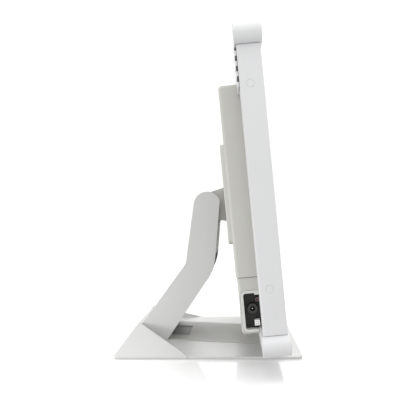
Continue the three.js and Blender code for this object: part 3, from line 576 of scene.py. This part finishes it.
def make_base_screws():
    """The screws in the underside, whose heads lie in the steel plate."""
    down = Matrix.Rotation(math.pi, 4, "X")
    for node in NODES:
        if not node.startswith(("base_screw", "arm_foot_screw")):
            continue
        low, high = (Vector(corner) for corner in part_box(node))
        place = Matrix.Translation(((low.x + high.x) / 2, (low.y + high.y) / 2, low.z)) @ down
        mesh = screw_mesh(high.z - low.z, place, **BASE_SCREW)
        piece = new_piece(f"{node}_detail", mesh, MATERIALS["bright_steel"], "stand")
        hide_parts(node)


# ------------------------------------------------------------------ connector pins

# The power socket's pin as (radius, height) in millimetres, from its root to its tip.
DC_PIN = [(0, -9), (1, -9), (1, -1.4), (0.7, -0.7), (0, -0.5)]
DC_PIN_SIDES = 24
SOCKET_PIN_OFFSET = 1.1 * MM
SOCKET_PIN_HALF = 0.28 * MM
SOCKET_PIN_DEPTHS = (0.3 * MM, 3 * MM)
SOCKET_PIN_EDGE = 0.08 * MM


def make_pins():
    """The power socket's centre pin and the four pins of the square socket. Both are guessed."""
    low, high = (Vector(corner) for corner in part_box("dc_jack"))
    middle = (low + high) / 2
    outward = Matrix.Rotation(-math.pi / 2, 4, "Y")
    pin = [(radius * MM, height * MM) for radius, height in DC_PIN]
    place = Matrix.Translation((low.x, middle.y, middle.z)) @ outward
    mesh = mesh_from(lambda made: add_lathe(made, pin, place, DC_PIN_SIDES))
    new_piece("dc_pin", mesh, MATERIALS["bright_steel"], "screen")

    low, high = (Vector(corner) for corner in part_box("four_pin_socket"))
    middle = (low + high) / 2
    half = SOCKET_PIN_HALF
    start, end = (low.x + depth for depth in SOCKET_PIN_DEPTHS)

    def build(made):
        for up in (-1, 1):
            for along in (-1, 1):
                y = middle.y + along * SOCKET_PIN_OFFSET
                z = middle.z + up * SOCKET_PIN_OFFSET
                add_block(made, (start, y - half, z - half), (end, y + half, z + half))

    pins = new_piece("socket_pins", mesh_from(build), MATERIALS["bright_steel"],
                     "screen")
    soften(pins, SOCKET_PIN_EDGE)


# ------------------------------------------------------------------ marks on the buttons

MARK_SIZE = 1.5 * MM
MARK_PROUD = 0.12 * MM
LINE_HALF = 0.22 * MM
LINE_PITCH = 1.1 * MM
DISC_RADIUS = 1.1 * MM
DISC_SIDES = 24


def add_prism(made, points, place):
    """A flat outline of (y, z) points as a thin prism along the matrix's X."""
    lower = [made.verts.new(place @ Vector((-MARK_PROUD, y, z))) for y, z in points]
    upper = [made.verts.new(place @ Vector((MARK_PROUD, y, z))) for y, z in points]
    made.faces.new(lower)
    made.faces.new(upper[::-1])
    for index in range(len(points)):
        after = (index + 1) % len(points)
        made.faces.new([lower[index], lower[after], upper[after], upper[index]])


def polygon(sides, radius, start=math.pi / 2):
    return [(radius * math.cos(start + 2 * math.pi * step / sides),
             radius * math.sin(start + 2 * math.pi * step / sides)) for step in range(sides)]


def bar(half_width, z0, z1):
    return [(-half_width, z0), (half_width, z0), (half_width, z1), (-half_width, z1)]


MARKS = {
    "power": [bar(LINE_HALF, -MARK_SIZE, MARK_SIZE)],
    "menu": [bar(MARK_SIZE, level - LINE_HALF, level + LINE_HALF)
             for level in (-LINE_PITCH, 0, LINE_PITCH)],
    "up": [polygon(3, MARK_SIZE)],
    "down": [polygon(3, MARK_SIZE, -math.pi / 2)],
    "enter": [polygon(DISC_SIDES, DISC_RADIUS)],
}


def make_button_marks():
    """Plain shapes in dark ink, one on each button's face."""
    for key in BUTTONS:
        low, high = (Vector(corner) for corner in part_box(f"button_{key}"))
        middle = (low + high) / 2
        place = Matrix.Translation((high.x, middle.y, middle.z)) @ Matrix.Rotation(-LEAN, 4, "X")

        def build(made):
            for outline in MARKS[key]:
                add_prism(made, outline, place)

        new_piece(f"mark_{key}", mesh_from(build), MATERIALS["dark_plastic"],
                  f"{key}_key")


# ------------------------------------------------------------------ floor and light

FLOOR_SIZE = 60.0
FLOOR_GREY = (0.865, 0.875)
FLOOR_ROUGHNESS = (0.05, 0.07)
FLOOR_IOR = 1.25
SKY_LEVEL = 1.065
SKY_SLOPE = 0.29


def make_stage():
    """A pale, slightly glossy floor that sends no light back onto the object."""
    bpy.ops.mesh.primitive_plane_add(size=FLOOR_SIZE, location=(0, 0, 0))
    floor = bpy.context.object
    floor.name = "floor"
    floor.visible_diffuse = False
    pale = Material("floor")
    tint = pale.noise(4, 2)
    darker, lighter = ((level,) * 3 for level in FLOOR_GREY)
    pale.feed(pale.blend(tint, darker, lighter), "Base Color")
    pale.feed(pale.spread(tint, *FLOOR_ROUGHNESS), "Roughness")
    pale.set(IOR=FLOOR_IOR)
    floor.data.materials.append(pale.material)


def make_sky():
    """Plain light from all round, a little brighter from above than from below."""
    world = bpy.data.worlds.new("studio")
    world.use_nodes = True
    tree = world.node_tree
    background = tree.nodes["Background"]
    direction = tree.nodes.new("ShaderNodeTexCoord").outputs["Generated"]
    parts = tree.nodes.new("ShaderNodeSeparateXYZ")
    tree.links.new(direction, parts.inputs["Vector"])
    level = tree.nodes.new("ShaderNodeMath")
    level.operation = "MULTIPLY_ADD"
    level.inputs[1].default_value = SKY_SLOPE
    level.inputs[2].default_value = SKY_LEVEL
    tree.links.new(parts.outputs["Z"], level.inputs[0])
    tree.links.new(level.outputs["Value"], background.inputs["Strength"])
    background.inputs["Color"].default_value = (1, 1, 1, 1)
    SCENE.world = world


# Each lamp's name, place, target, disc size in metres and power in watts.
LAMPS = [
    ("overhead", (-0.3, -0.45, 2.2), (0, 0, 0.17), 1.6, 10),
    ("top", (-0.45, -0.03, 0.55), (-0.2, -0.03, 0.33), 0.2, 0.17),
    ("foot", (-0.26, 0.27, 0.014), (-0.06, 0.09, 0.03), 0.1, 0.40),
    ("far", (1.1, 0.05, 0.5), (0.05, -0.02, 0), 0.9, 2.0),
]


def area_light(name, location, target, size, energy):
    """A round lamp that the camera doesn't see."""
    data = bpy.data.lights.new(name, "AREA")
    data.shape = "DISK"
    data.size = size
    data.energy = energy
    lamp = bpy.data.objects.new(name, data)
    lamp.location = location
    lamp.rotation_euler = (Vector(target) - Vector(location)).to_track_quat("-Z", "Y").to_euler()
    lamp.visible_camera = False
    SCENE.collection.objects.link(lamp)


def make_lights():
    for lamp in LAMPS:
        area_light(*lamp)


make_camera()
finish_nodes()
make_base_mat()
make_vent_meshes()
make_plate_screws()
make_base_screws()
make_pins()
make_button_marks()
make_stage()
make_sky()
make_lights()
SCENE.view_settings.view_transform = "Standard"
